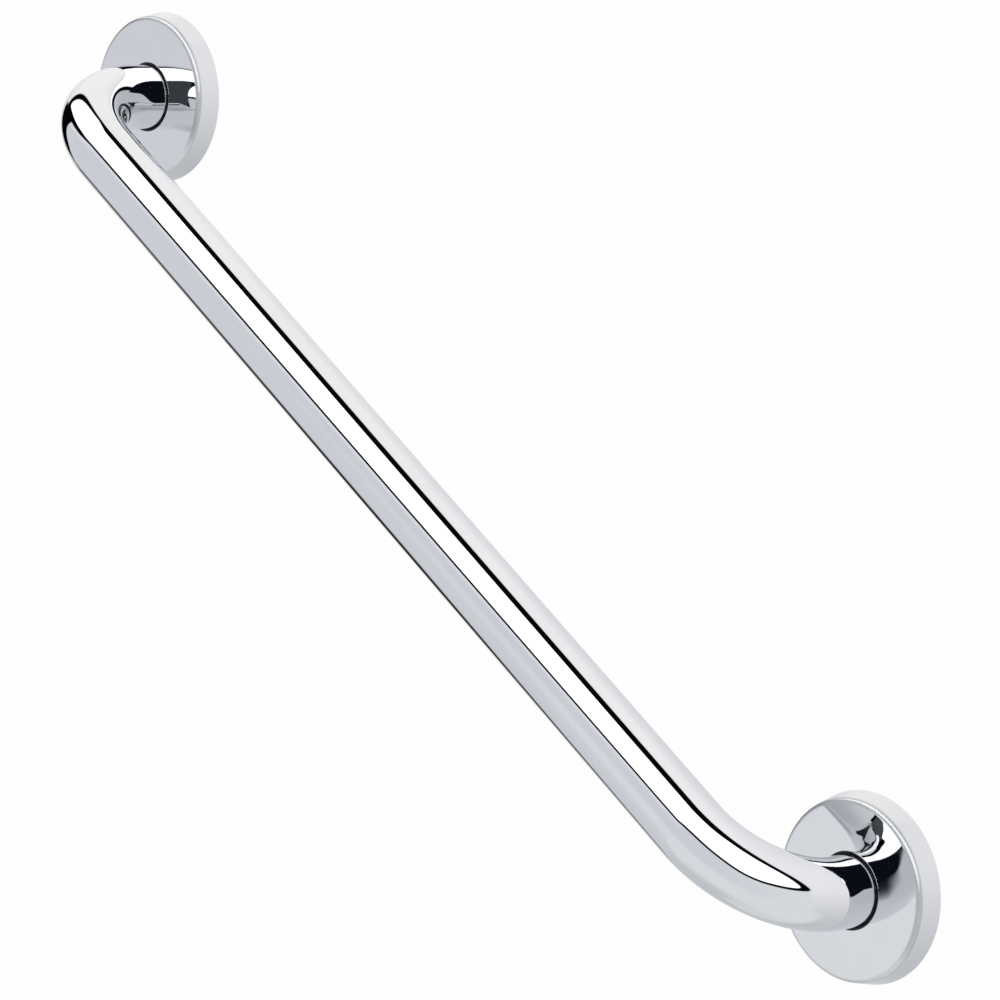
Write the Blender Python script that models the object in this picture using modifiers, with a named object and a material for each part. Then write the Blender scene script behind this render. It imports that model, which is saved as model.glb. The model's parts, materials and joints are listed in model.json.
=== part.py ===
"""Grab rail: a bent, polished tube welded to two base plates, with two loose cover flanges.

The wall is the plane Y = 0 and the rail stands out from it along -Y. The bar lies along X, and +Z is up.
The origin is where the left leg's axis meets the wall, and the right leg stands LEG_SPACING along +X.
Each end is built around an empty on its leg's axis, whose local Z points away from the wall.
"""

import math

import bmesh
import bpy
from mathutils import Vector

# Rail tube.
LEG_SPACING = 0.600  # between the axes of the two legs
BAR_PROJECTION = 0.0705  # from the wall to the bar's centreline
TUBE_RADIUS = 0.0165
TUBE_WALL = 0.0015
BEND_RADIUS = 0.050  # of the tube's centreline
CLEARANCE = 0.0003  # between neighbouring pieces

# Wall gasket and base plate. The plate's lugs grip the inside of the cover flange.
GASKET_RADIUS = 0.0400
GASKET_THICKNESS = 0.0010
PLATE_RADIUS = 0.0385
PLATE_THICKNESS = 0.0030
LUG_REACH = 0.0414
LUG_HALF_ANGLE = math.radians(8)
LUG_ANGLES = tuple(math.radians(angle) for angle in (30, 150, 270))
WELD_LEG = 0.0030

# Screws and washers, on a circle in each base plate.
SCREW_CIRCLE_RADIUS = 0.0280
SCREW_ANGLES = tuple(math.radians(angle) for angle in (90, 210, 330))
SHANK_RADIUS = 0.0024
SCREW_LENGTH = 0.0190  # under the head
SCREW_TIP_LENGTH = 0.0040
HEAD_RADIUS = 0.00475
HEAD_HEIGHT = 0.0030
RECESS_SPAN = 0.0052
RECESS_SLOT = 0.0011
RECESS_DEPTH = 0.0016
PLATE_HOLE_RADIUS = 0.00275
GASKET_HOLE_RADIUS = 0.0031
WASHER_INNER_RADIUS = 0.0027
WASHER_OUTER_RADIUS = 0.0050
WASHER_THICKNESS = 0.0010

# Cover flange and the bush in its hole.
COVER_DEPTH = 0.0125
COVER_RIM_RADIUS = 0.0437
COVER_FLARE = math.atan(0.2)  # lean of the skirt
COVER_SHOULDER_RADIUS = 0.0022
COVER_SHEET = 0.0010
COVER_HOLE_RADIUS = 0.0176
COVER_HOLE_ROUNDING = 0.0005
BUSH_LIP_RADIUS = 0.0173
BUSH_RECESS = 0.0006  # from the cover's face back to the bush's lip
BUSH_FLANGE_RADIUS = 0.0200
BUSH_FLANGE_THICKNESS = 0.0015

# Heights above the wall, worked out from the stack of pieces.
PLATE_BACK = GASKET_THICKNESS + CLEARANCE
PLATE_FRONT = PLATE_BACK + PLATE_THICKNESS
LEG_FOOT = PLATE_FRONT + CLEARANCE
WASHER_BACK = PLATE_FRONT + CLEARANCE
HEAD_BACK = WASHER_BACK + WASHER_THICKNESS + CLEARANCE
COVER_RIM_HEIGHT = CLEARANCE

# How finely round shapes are divided.
TUBE_BEVEL_RESOLUTION = 12
BEND_STEPS = 12
COVER_STEPS = 48
RING_STEPS = 40
SMALL_STEPS = 24
HOLE_POINTS = 20
AXIS_MERGE = 0.00001
SHARP_ANGLE = math.radians(35)


def clear_scene():
    for obj in list(bpy.data.objects):
        bpy.data.objects.remove(obj, do_unlink=True)


def new_collection(name):
    collection = bpy.data.collections.new(name)
    bpy.context.scene.collection.children.link(collection)
    return collection


def new_material(name, colour, roughness, metallic):
    material = bpy.data.materials.new(name)
    material.use_nodes = True
    shader = material.node_tree.nodes["Principled BSDF"]
    shader.inputs["Base Color"].default_value = (*colour, 1.0)
    shader.inputs["Roughness"].default_value = roughness
    shader.inputs["Metallic"].default_value = metallic
    return material


def place(name, mesh, material, collection, parent=None, location=(0, 0, 0)):
    """An object that shows the mesh in the material, placed in its parent's frame."""
    obj = bpy.data.objects.new(name, mesh)
    if not mesh.materials:
        mesh.materials.append(material)
    obj.location = location
    obj.parent = parent
    collection.objects.link(obj)
    return obj


def evaluated_mesh(obj):
    """The object's final mesh, welded and smooth-shaded. The object itself is removed."""
    name = obj.name
    bpy.context.view_layer.update()
    graph = bpy.context.evaluated_depsgraph_get()
    mesh = bpy.data.meshes.new_from_object(obj.evaluated_get(graph))
    bpy.data.objects.remove(obj)
    mesh.name = name
    shape = bmesh.new()
    shape.from_mesh(mesh)
    bmesh.ops.remove_doubles(shape, verts=shape.verts, dist=AXIS_MERGE)
    bmesh.ops.recalc_face_normals(shape, faces=shape.faces)
    shape.to_mesh(mesh)
    shape.free()
    mesh.shade_smooth()
    mesh.set_sharp_from_angle(angle=SHARP_ANGLE)
    return mesh


def arc(centre, radius, start, end, steps):
    """Points along an arc about a centre, from one angle to another."""
    points = []
    for step in range(steps + 1):
        angle = start + (end - start) * step / steps
        points.append((centre[0] + radius * math.cos(angle), centre[1] + radius * math.sin(angle)))
    return points


def turned_mesh(name, profile, steps, closed=True):
    """A profile of (radius, height) points turned about Z. It runs down its outer side first."""
    mesh = bpy.data.meshes.new(name)
    edges = [(index, index + 1) for index in range(len(profile) - 1)]
    if closed:
        edges.append((len(profile) - 1, 0))
    mesh.from_pydata([(radius, 0.0, height) for radius, height in profile], edges, [])
    obj = bpy.data.objects.new(name, mesh)
    bpy.context.scene.collection.objects.link(obj)
    screw = obj.modifiers.new("turn", "SCREW")
    screw.axis = "Z"
    screw.angle = math.radians(360)
    screw.steps = steps
    screw.render_steps = steps
    screw.use_merge_vertices = True
    screw.merge_threshold = AXIS_MERGE
    return evaluated_mesh(obj)


def flat_mesh(name, outlines, thickness):
    """Closed outlines in the XY plane, filled between outer and inner ones, centred on Z = 0."""
    curve = bpy.data.curves.new(name, "CURVE")
    curve.dimensions = "2D"
    curve.fill_mode = "BOTH"
    curve.extrude = thickness / 2
    for outline in outlines:
        spline = curve.splines.new("POLY")
        spline.points.add(len(outline) - 1)
        for point, (x, y) in zip(spline.points, outline):
            point.co = (x, y, 0.0, 1.0)
        spline.use_cyclic_u = True
    obj = bpy.data.objects.new(name, curve)
    bpy.context.scene.collection.objects.link(obj)
    return evaluated_mesh(obj)


def rod_mesh(name, centreline, radius):
    """A round rod along a line of points, with closed ends."""
    curve = bpy.data.curves.new(name, "CURVE")
    curve.dimensions = "3D"
    curve.bevel_depth = radius
    curve.bevel_resolution = TUBE_BEVEL_RESOLUTION
    curve.use_fill_caps = True
    spline = curve.splines.new("POLY")
    spline.points.add(len(centreline) - 1)
    for point, position in zip(spline.points, centreline):
        point.co = (*position, 1.0)
    obj = bpy.data.objects.new(name, curve)
    bpy.context.scene.collection.objects.link(obj)
    return evaluated_mesh(obj)


def rail_centreline(foot_height):
    """Foot of the left leg, bend, bar, bend and foot of the right leg, at Z = 0."""
    bend_x = LEG_SPACING - BEND_RADIUS
    bend_height = BAR_PROJECTION - BEND_RADIUS
    quarter = arc((bend_x, bend_height), BEND_RADIUS, 0, math.radians(90), BEND_STEPS)
    right_half = [(LEG_SPACING, foot_height)] + quarter
    left_half = [(LEG_SPACING - x, height) for x, height in right_half]
    return [Vector((x, -height, 0.0)) for x, height in left_half + right_half[::-1]]


def make_rail_tube(parts, cutters, chrome):
    """The hollow rail: a bent rod, bored along its whole length."""
    rod = rod_mesh("rail_tube", rail_centreline(LEG_FOOT), TUBE_RADIUS)
    tube = place("rail_tube", rod, chrome, parts)
    beyond_foot = LEG_FOOT - 2 * TUBE_WALL
    bore_mesh = rod_mesh("rail_bore", rail_centreline(beyond_foot), TUBE_RADIUS - TUBE_WALL)
    bore = place("rail_bore", bore_mesh, chrome, cutters)
    bore.hide_render = True
    bore.display_type = "WIRE"
    cut = tube.modifiers.new("bore", "BOOLEAN")
    cut.operation = "DIFFERENCE"
    cut.solver = "EXACT"
    cut.object = bore


def circle(radius, centre=(0.0, 0.0), points=HOLE_POINTS):
    return arc(centre, radius, 0, math.radians(360), points)[:-1]


def screw_positions():
    return [
        (SCREW_CIRCLE_RADIUS * math.cos(angle), SCREW_CIRCLE_RADIUS * math.sin(angle))
        for angle in SCREW_ANGLES
    ]


def base_plate_mesh():
    """A disc with three lugs that reach the cover's skirt, and three screw holes."""
    outline = []
    sector = math.radians(360) / len(LUG_ANGLES)
    for angle in LUG_ANGLES:
        outline += arc((0, 0), LUG_REACH, angle - LUG_HALF_ANGLE, angle + LUG_HALF_ANGLE, 4)
        disc_start = angle + LUG_HALF_ANGLE * 1.25
        disc_end = angle + sector - LUG_HALF_ANGLE * 1.25
        outline += arc((0, 0), PLATE_RADIUS, disc_start, disc_end, 12)
    holes = [circle(PLATE_HOLE_RADIUS, position) for position in screw_positions()]
    return flat_mesh("base_plate", [outline] + holes, PLATE_THICKNESS)


def gasket_mesh():
    """A rubber disc that beds the plate on the wall, pierced for the screws."""
    holes = [circle(GASKET_HOLE_RADIUS, position) for position in screw_positions()]
    outline = circle(GASKET_RADIUS, points=COVER_STEPS)
    return flat_mesh("wall_gasket", [outline] + holes, GASKET_THICKNESS)


def weld_bead_mesh():
    """The convex weld around the leg's foot."""
    root = (TUBE_RADIUS + CLEARANCE, PLATE_FRONT + CLEARANCE)
    profile = arc(root, WELD_LEG, math.radians(90), 0, 4) + [root]
    return turned_mesh("weld_bead", profile, RING_STEPS)


def cover_mesh():
    """A pressed cup of sheet: flat face, rounded shoulder, flared skirt and a hole for the leg."""
    upright = math.radians(90)
    shoulder_height = COVER_DEPTH - COVER_SHOULDER_RADIUS
    skirt_top = shoulder_height + COVER_SHOULDER_RADIUS * math.sin(COVER_FLARE)
    skirt_top_radius = COVER_RIM_RADIUS - math.tan(COVER_FLARE) * (skirt_top - COVER_RIM_HEIGHT)
    shoulder = (skirt_top_radius - COVER_SHOULDER_RADIUS * math.cos(COVER_FLARE), shoulder_height)
    hole_edge = (COVER_HOLE_RADIUS + COVER_HOLE_ROUNDING, COVER_DEPTH - COVER_HOLE_ROUNDING)
    profile = arc(hole_edge, COVER_HOLE_ROUNDING, math.radians(180), upright, 2)
    profile += arc(shoulder, COVER_SHOULDER_RADIUS, upright, COVER_FLARE, 5)
    profile.append((COVER_RIM_RADIUS, COVER_RIM_HEIGHT))
    profile.append((COVER_RIM_RADIUS - COVER_SHEET, COVER_RIM_HEIGHT))
    profile += arc(shoulder, COVER_SHOULDER_RADIUS - COVER_SHEET, COVER_FLARE, upright, 3)
    profile.append((COVER_HOLE_RADIUS, COVER_DEPTH - COVER_SHEET))
    return turned_mesh("cover_flange", profile, COVER_STEPS)


def cover_bush_mesh():
    """A ring between leg and cover: a lip inside the hole and a flange behind the sheet."""
    bore = TUBE_RADIUS + CLEARANCE
    lip_top = COVER_DEPTH - BUSH_RECESS
    flange_top = COVER_DEPTH - COVER_SHEET - CLEARANCE
    flange_bottom = flange_top - BUSH_FLANGE_THICKNESS
    profile = [
        (bore, lip_top),
        (BUSH_LIP_RADIUS, lip_top),
        (BUSH_LIP_RADIUS, flange_top),
        (BUSH_FLANGE_RADIUS, flange_top),
        (BUSH_FLANGE_RADIUS, flange_bottom),
        (bore, flange_bottom),
    ]
    return turned_mesh("cover_bush", profile, COVER_STEPS)


def washer_mesh():
    top = WASHER_BACK + WASHER_THICKNESS
    profile = [
        (WASHER_INNER_RADIUS, top),
        (WASHER_OUTER_RADIUS, top),
        (WASHER_OUTER_RADIUS, WASHER_BACK),
        (WASHER_INNER_RADIUS, WASHER_BACK),
    ]
    return turned_mesh("washer", profile, SMALL_STEPS)


def screw_blank_mesh():
    """A pan-head screw with a pointed shank, before its recess is cut."""
    head_top = HEAD_BACK + HEAD_HEIGHT
    tip = HEAD_BACK - SCREW_LENGTH
    profile = [
        (0.0, head_top),
        (HEAD_RADIUS * 0.55, head_top - HEAD_HEIGHT * 0.04),
        (HEAD_RADIUS * 0.85, head_top - HEAD_HEIGHT * 0.22),
        (HEAD_RADIUS, head_top - HEAD_HEIGHT * 0.55),
        (HEAD_RADIUS, HEAD_BACK),
        (SHANK_RADIUS, HEAD_BACK),
        (SHANK_RADIUS, tip + SCREW_TIP_LENGTH),
        (0.0, tip),
    ]
    return turned_mesh("screw", profile, SMALL_STEPS, closed=False)


def screw_mesh():
    """The finished screw: its blank, less a cross-shaped recess in the head."""
    blank = bpy.data.objects.new("screw", screw_blank_mesh())
    bpy.context.scene.collection.objects.link(blank)
    cutter_height = 2 * RECESS_DEPTH
    arms = []
    for turn in (0, math.radians(90)):
        bpy.ops.mesh.primitive_cube_add(size=1)
        arm = bpy.context.object
        arm.scale = (RECESS_SPAN, RECESS_SLOT, cutter_height)
        arm.rotation_euler.z = turn
        arm.location.z = HEAD_BACK + HEAD_HEIGHT - RECESS_DEPTH + cutter_height / 2
        cut = blank.modifiers.new("recess", "BOOLEAN")
        cut.operation = "DIFFERENCE"
        cut.solver = "EXACT"
        cut.object = arm
        arms.append(arm)
    mesh = evaluated_mesh(blank)
    for arm in arms:
        bpy.data.objects.remove(arm)
    return mesh


def make_meshes():
    return {
        "wall_gasket": gasket_mesh(),
        "base_plate": base_plate_mesh(),
        "weld_bead": weld_bead_mesh(),
        "cover_flange": cover_mesh(),
        "cover_bush": cover_bush_mesh(),
        "washer": washer_mesh(),
        "screw": screw_mesh(),
    }


def make_materials():
    return {
        "rail_tube": new_material("polished_tube", (0.86, 0.87, 0.89), 0.03, 1.0),
        "cover_flange": new_material("polished_cover", (0.86, 0.87, 0.89), 0.04, 1.0),
        "base_plate": new_material("plate_steel", (0.62, 0.62, 0.60), 0.34, 1.0),
        "weld_bead": new_material("weld_metal", (0.50, 0.48, 0.45), 0.45, 1.0),
        "cover_bush": new_material("black_nylon", (0.015, 0.015, 0.017), 0.55, 0.0),
        "wall_gasket": new_material("black_rubber", (0.025, 0.025, 0.025), 0.85, 0.0),
        "washer": new_material("washer_steel", (0.66, 0.66, 0.65), 0.30, 1.0),
        "screw": new_material("screw_steel", (0.70, 0.70, 0.69), 0.25, 1.0),
    }


def make_end(side, leg_x, meshes, materials, parts):
    """Every piece at one end of the rail, placed from an empty on the leg's axis at the wall."""
    axis = bpy.data.objects.new(f"{side}_leg_axis", None)
    axis.location = (leg_x, 0.0, 0.0)
    axis.rotation_euler = (math.radians(90), 0.0, 0.0)
    parts.objects.link(axis)

    def add(piece, parent=axis, label="", location=(0, 0, 0)):
        name = f"{side}_{piece}{label}"
        return place(name, meshes[piece], materials[piece], parts, parent, location)

    add("wall_gasket", location=(0, 0, GASKET_THICKNESS / 2))
    add("base_plate", location=(0, 0, PLATE_BACK + PLATE_THICKNESS / 2))
    add("weld_bead")
    for number, (x, y) in enumerate(screw_positions(), start=1):
        add("washer", label=f"_{number}", location=(x, y, 0))
        add("screw", label=f"_{number}", location=(x, y, 0))
    bush = add("cover_bush")
    add("cover_flange", parent=bush)


def main():
    clear_scene()
    parts = new_collection("grab_rail")
    cutters = new_collection("cutters")
    materials = make_materials()
    meshes = make_meshes()
    make_rail_tube(parts, cutters, materials["rail_tube"])
    make_end("left", 0.0, meshes, materials, parts)
    make_end("right", LEG_SPACING, meshes, materials, parts)
    bpy.context.view_layer.update()


main()
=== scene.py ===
"""The looks of the grab rail: fine shells and fasteners, their materials, and the studio.

Lengths are metres. The wall is Y = 0, the rail stands out along -Y, +Z is up and the bar lies along X.
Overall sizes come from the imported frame, and each end's pieces are built about its leg's axis.
"""

import json
import math

import bmesh
import bpy
from mathutils import Matrix, Vector

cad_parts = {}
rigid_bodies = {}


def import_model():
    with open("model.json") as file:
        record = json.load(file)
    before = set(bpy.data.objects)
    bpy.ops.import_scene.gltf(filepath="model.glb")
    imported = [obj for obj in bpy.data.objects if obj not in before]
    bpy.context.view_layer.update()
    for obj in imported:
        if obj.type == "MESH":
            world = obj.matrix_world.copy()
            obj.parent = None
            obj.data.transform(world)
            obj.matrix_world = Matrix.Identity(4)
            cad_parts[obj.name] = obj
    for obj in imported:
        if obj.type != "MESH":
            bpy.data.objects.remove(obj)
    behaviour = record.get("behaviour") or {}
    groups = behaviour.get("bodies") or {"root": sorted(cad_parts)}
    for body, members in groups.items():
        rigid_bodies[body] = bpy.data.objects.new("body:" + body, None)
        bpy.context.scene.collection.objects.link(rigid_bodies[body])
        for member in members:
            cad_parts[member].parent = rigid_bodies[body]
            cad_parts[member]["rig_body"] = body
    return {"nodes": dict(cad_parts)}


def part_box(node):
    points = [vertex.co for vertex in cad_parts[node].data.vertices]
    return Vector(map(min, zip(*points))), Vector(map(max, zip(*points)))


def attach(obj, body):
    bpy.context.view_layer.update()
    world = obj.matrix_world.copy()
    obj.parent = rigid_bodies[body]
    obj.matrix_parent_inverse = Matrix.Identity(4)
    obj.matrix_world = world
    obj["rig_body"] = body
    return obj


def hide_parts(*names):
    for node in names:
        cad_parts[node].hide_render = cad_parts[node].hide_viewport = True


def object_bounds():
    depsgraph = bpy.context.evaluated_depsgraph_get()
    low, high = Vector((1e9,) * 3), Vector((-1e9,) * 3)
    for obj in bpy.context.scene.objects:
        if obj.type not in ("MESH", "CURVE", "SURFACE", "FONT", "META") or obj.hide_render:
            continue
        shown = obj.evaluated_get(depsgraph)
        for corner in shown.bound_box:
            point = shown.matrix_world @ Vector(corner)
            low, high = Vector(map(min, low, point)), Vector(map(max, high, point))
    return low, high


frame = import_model()
cad_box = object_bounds()

SIDES = ("left", "right")
QUARTER_TURN = math.radians(90)
FULL_TURN = math.radians(360)

# Fineness of the round shapes.
TUBE_SEGMENTS = 160
BEND_RINGS = 72
BAR_RINGS = 40
LEG_RINGS = 8
BORE_BEND_RINGS = 16
COVER_SEGMENTS = 240
BUSH_SEGMENTS = 160
WELD_SEGMENTS = 360
SMALL_SEGMENTS = 64
SHARP_ANGLE = math.radians(34)
EDGE_GUARD = 0.00008  # the narrow strip that keeps a flat face's shading flat up to its rounding
DISC_MERGE = 0.00001
CUT_MERGE = 0.000001

# How many steps an arc takes.
SMALL_EDGE_STEPS = 3
HEAD_EDGE_STEPS = 4
RIM_STEPS = 5
ROLL_STEPS = 8
SHOULDER_STEPS = 16
LUG_STEPS = 16
DISC_STEPS = 72
WELD_STEPS = 14

# Shape details that the frame's boxes don't hold.
BEND_RADIUS = 0.050
TUBE_WALL = 0.0015
TUBE_EDGE = 0.0002
COVER_SHEET = 0.0010
COVER_FLARE = math.atan(0.2)
COVER_SHOULDER_RADIUS = 0.0022
COVER_HOLE_RADIUS = 0.0176
COVER_HOLE_ROUNDING = 0.0005
EASING_SHARE = 0.3  # how much of a thin sheet's thickness its eased edge takes
BUSH_LIP_RADIUS = 0.0173
BUSH_GAP = 0.0003
BUSH_FLANGE_THICKNESS = 0.0015
LUG_ANGLES = tuple(math.radians(angle) for angle in (30, 150, 270))
LUG_HALF_ANGLE = math.radians(8)
LUG_FOOT_HALF_ANGLE = math.radians(10)  # a lug's foot is wider than its end
PLATE_RADIUS = 0.0385
SCREW_ANGLES = tuple(math.radians(angle) for angle in (90, 210, 330))
SCREW_CIRCLE_RADIUS = 0.0280
PLATE_HOLE_RADIUS = 0.00275
GASKET_HOLE_RADIUS = 0.0031
WASHER_HOLE_RADIUS = 0.0027
WASHER_ROUNDING = 0.00018
PLATE_CHAMFER = 0.00025
GASKET_ROUNDING = 0.00015


def box_size(node):
    low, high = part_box(node)
    return high - low


def box_front(node):
    """How far the node reaches from the wall."""
    return -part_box(node)[0].y


def box_back(node):
    """How far from the wall the node starts. It's negative behind the wall."""
    return -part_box(node)[1].y


TUBE_RADIUS = box_size("rail_tube").z / 2
LEG_SPACING = box_size("rail_tube").x - 2 * TUBE_RADIUS
BAR_PROJECTION = box_front("rail_tube") - TUBE_RADIUS
LEG_X = {"left": 0.0, "right": LEG_SPACING}
COVER_DEPTH = box_front("left_cover_flange")
SHOULDER_FOOT = COVER_DEPTH - COVER_SHOULDER_RADIUS
SHOULDER_FALL = math.tan(COVER_FLARE) * (SHOULDER_FOOT - box_back("left_cover_flange"))
SHOULDER_START = box_size("left_cover_flange").z / 2 - SHOULDER_FALL - COVER_SHOULDER_RADIUS


# ---------------------------------------------------------------- meshes


def arc(centre, radius, start, end, steps):
    """Points along an arc about a centre, from one angle to another."""
    points = []
    for step in range(steps + 1):
        angle = start + (end - start) * step / steps
        points.append((centre[0] + radius * math.cos(angle), centre[1] + radius * math.sin(angle)))
    return points


def finish_mesh(shape, name, merge=0.0):
    """The bmesh as a smooth-shaded mesh with its faces pointing out."""
    if merge:
        bmesh.ops.remove_doubles(shape, verts=shape.verts, dist=merge)
    bmesh.ops.recalc_face_normals(shape, faces=shape.faces)
    mesh = bpy.data.meshes.new(name)
    shape.to_mesh(mesh)
    shape.free()
    mesh.shade_smooth()
    mesh.set_sharp_from_angle(angle=SHARP_ANGLE)
    return mesh


def loft(name, rings, closed):
    """Closed rings of points, each joined to the next. The ends meet, or are fanned shut."""
    shape = bmesh.new()
    rows = [[shape.verts.new(point) for point in ring] for ring in rings]
    pairs = list(zip(rows, rows[1:]))
    if closed:
        pairs.append((rows[-1], rows[0]))
    for lower, upper in pairs:
        for index in range(len(lower)):
            after = (index + 1) % len(lower)
            shape.faces.new((lower[index], lower[after], upper[after], upper[index]))
    if not closed:
        for row in (rows[0], rows[-1]):
            middle = sum((vert.co for vert in row), Vector()) / len(row)
            pole = shape.verts.new(middle)
            for index in range(len(row)):
                shape.faces.new((row[index], row[(index + 1) % len(row)], pole))
    return finish_mesh(shape, name)


def around_axis(radius, height, angle):
    """The point at a radius and height, turned about the leg's axis."""
    return (radius * math.cos(angle), -height, radius * math.sin(angle))


def turned(name, profile, segments, reach=None):
    """A closed (radius, height) outline turned about the leg's axis.

    reach(angle, radius, height) may shift each point."""
    rings = []
    for radius, height in profile:
        ring = []
        for segment in range(segments):
            angle = FULL_TURN * segment / segments
            shifted = reach(angle, radius, height) if reach else (radius, height)
            ring.append(around_axis(*shifted, angle))
        rings.append(ring)
    return loft(name, rings, closed=True)


def rounded_box_profile(inner, outer, bottom, top, rounding):
    """The outline of a ring's section, with its four edges rounded."""
    profile = []
    corners = (
        (outer - rounding, top - rounding, QUARTER_TURN, 0),
        (outer - rounding, bottom + rounding, 0, -QUARTER_TURN),
        (inner + rounding, bottom + rounding, -QUARTER_TURN, -2 * QUARTER_TURN),
        (inner + rounding, top - rounding, 2 * QUARTER_TURN, QUARTER_TURN),
    )
    for x, y, start, end in corners:
        profile += arc((x, y), rounding, start, end, SMALL_EDGE_STEPS)
    return guarded(profile)


def guarded(profile):
    """The closed profile, with a point close to each end of its long straight stretches."""
    points = []
    for index, start in enumerate(profile):
        end = profile[(index + 1) % len(profile)]
        points.append(tuple(start))
        length = (Vector(end) - Vector(start)).length
        if length > 4 * EDGE_GUARD:
            share = EDGE_GUARD / length
            points.append(tuple(Vector(start).lerp(Vector(end), share)))
            points.append(tuple(Vector(start).lerp(Vector(end), 1 - share)))
    return points


def flat_disc(name, outlines, back, front, rounding):
    """Outlines about the leg's axis, filled between outer and inner ones, with rounded edges."""
    curve = bpy.data.curves.new(name, "CURVE")
    curve.dimensions = "2D"
    curve.fill_mode = "BOTH"
    curve.extrude = (front - back) / 2 - rounding
    curve.bevel_depth = rounding
    curve.bevel_resolution = 2
    curve.offset = -rounding
    for outline in outlines:
        spline = curve.splines.new("POLY")
        spline.points.add(len(outline) - 1)
        for point, (x, y) in zip(spline.points, outline):
            point.co = (x, y, 0.0, 1.0)
        spline.use_cyclic_u = True
    flat = bpy.data.objects.new(name, curve)
    bpy.context.scene.collection.objects.link(flat)
    bpy.context.view_layer.update()
    graph = bpy.context.evaluated_depsgraph_get()
    mesh = bpy.data.meshes.new_from_object(flat.evaluated_get(graph))
    bpy.data.objects.remove(flat)
    shape = bmesh.new()
    shape.from_mesh(mesh)
    bpy.data.meshes.remove(mesh)
    stand_up = Matrix.Translation((0, -(front + back) / 2, 0)) @ Matrix.Rotation(QUARTER_TURN, 4, "X")
    bmesh.ops.transform(shape, matrix=stand_up, verts=shape.verts)
    return finish_mesh(shape, name, merge=DISC_MERGE)


# ---------------------------------------------------------------- pieces


def rail_path(foot, leg_rings, bend_rings, bar_rings):
    """(centre, tangent) along the rail's centreline, from the left foot to the right foot."""
    bend_height = BAR_PROJECTION - BEND_RADIUS
    bend_x = LEG_SPACING - BEND_RADIUS
    right = []
    for step in range(leg_rings):
        right.append(((LEG_SPACING, foot + (bend_height - foot) * step / leg_rings), (0.0, 1.0)))
    for step in range(bend_rings + 1):
        angle = QUARTER_TURN * step / bend_rings
        point = (bend_x + BEND_RADIUS * math.cos(angle), bend_height + BEND_RADIUS * math.sin(angle))
        right.append((point, (-math.sin(angle), math.cos(angle))))
    left = [((LEG_SPACING - x, height), (-tx, ty)) for (x, height), (tx, ty) in right]
    bar = []
    for step in range(1, bar_rings):
        share = step / bar_rings
        bar.append(((BEND_RADIUS + (bend_x - BEND_RADIUS) * share, BAR_PROJECTION), (1.0, 0.0)))
    down = [(point, (-tx, -ty)) for point, (tx, ty) in right[::-1]]
    return left + bar + down


def tube_rings(path, radius):
    """Round rings square to the path."""
    rings = []
    for (x, height), (tx, ty) in path:
        side = Vector((ty, tx, 0.0))
        centre = Vector((x, -height, 0.0))
        ring = []
        for segment in range(TUBE_SEGMENTS):
            angle = FULL_TURN * segment / TUBE_SEGMENTS
            rise = Vector((0, 0, radius * math.sin(angle)))
            ring.append(centre + side * (radius * math.cos(angle)) + rise)
        rings.append(ring)
    return rings


def rail_tube_mesh():
    """The bent tube, hollow, with its two feet slightly eased."""
    foot = box_back("rail_tube")
    outer = rail_path(foot + TUBE_EDGE, LEG_RINGS, BEND_RINGS, BAR_RINGS)
    inner = rail_path(foot + TUBE_EDGE, LEG_RINGS, BORE_BEND_RINGS, LEG_RINGS)
    ends = rail_path(foot, 1, 1, 1)
    left_end, right_end = ends[:1], ends[-1:]
    rings = tube_rings(left_end, TUBE_RADIUS - TUBE_EDGE)
    rings += tube_rings(outer, TUBE_RADIUS)
    rings += tube_rings(right_end, TUBE_RADIUS - TUBE_EDGE)
    rings += tube_rings(right_end, TUBE_RADIUS - TUBE_WALL + TUBE_EDGE)
    rings += tube_rings(inner[::-1], TUBE_RADIUS - TUBE_WALL)
    rings += tube_rings(left_end, TUBE_RADIUS - TUBE_WALL + TUBE_EDGE)
    return loft("rail_tube_polished", rings, closed=True)


def cover_mesh(side):
    """The pressed cover: flat face, rolled hole edge, rounded shoulder, flared skirt and an eased rim."""
    node = f"{side}_cover_flange"
    rim_radius = box_size(node).z / 2
    depth = box_front(node)
    rim_height = box_back(node)
    shoulder_height = depth - COVER_SHOULDER_RADIUS
    skirt_top = shoulder_height + COVER_SHOULDER_RADIUS * math.sin(COVER_FLARE)
    skirt_top_radius = rim_radius - math.tan(COVER_FLARE) * (skirt_top - rim_height)
    shoulder = (skirt_top_radius - COVER_SHOULDER_RADIUS * math.cos(COVER_FLARE), shoulder_height)
    rolling = COVER_HOLE_ROUNDING
    hole_edge = (COVER_HOLE_RADIUS + rolling, depth - rolling)
    easing = COVER_SHEET * EASING_SHARE
    outer_rim = (rim_radius - easing, rim_height + easing)
    inner_rim = (rim_radius - COVER_SHEET + easing, rim_height + easing)
    profile = arc(hole_edge, rolling, 2 * QUARTER_TURN, QUARTER_TURN, ROLL_STEPS)
    profile += arc(shoulder, COVER_SHOULDER_RADIUS, QUARTER_TURN, COVER_FLARE, SHOULDER_STEPS)
    profile += arc(outer_rim, easing, COVER_FLARE, -QUARTER_TURN, RIM_STEPS)
    profile += arc(inner_rim, easing, -QUARTER_TURN, -2 * QUARTER_TURN + COVER_FLARE, RIM_STEPS)
    profile += arc(shoulder, COVER_SHOULDER_RADIUS - COVER_SHEET, COVER_FLARE, QUARTER_TURN, ROLL_STEPS)
    profile.append((COVER_HOLE_RADIUS, depth - COVER_SHEET))
    return turned(f"{node}_pressed", guarded(profile), COVER_SEGMENTS)


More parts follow.
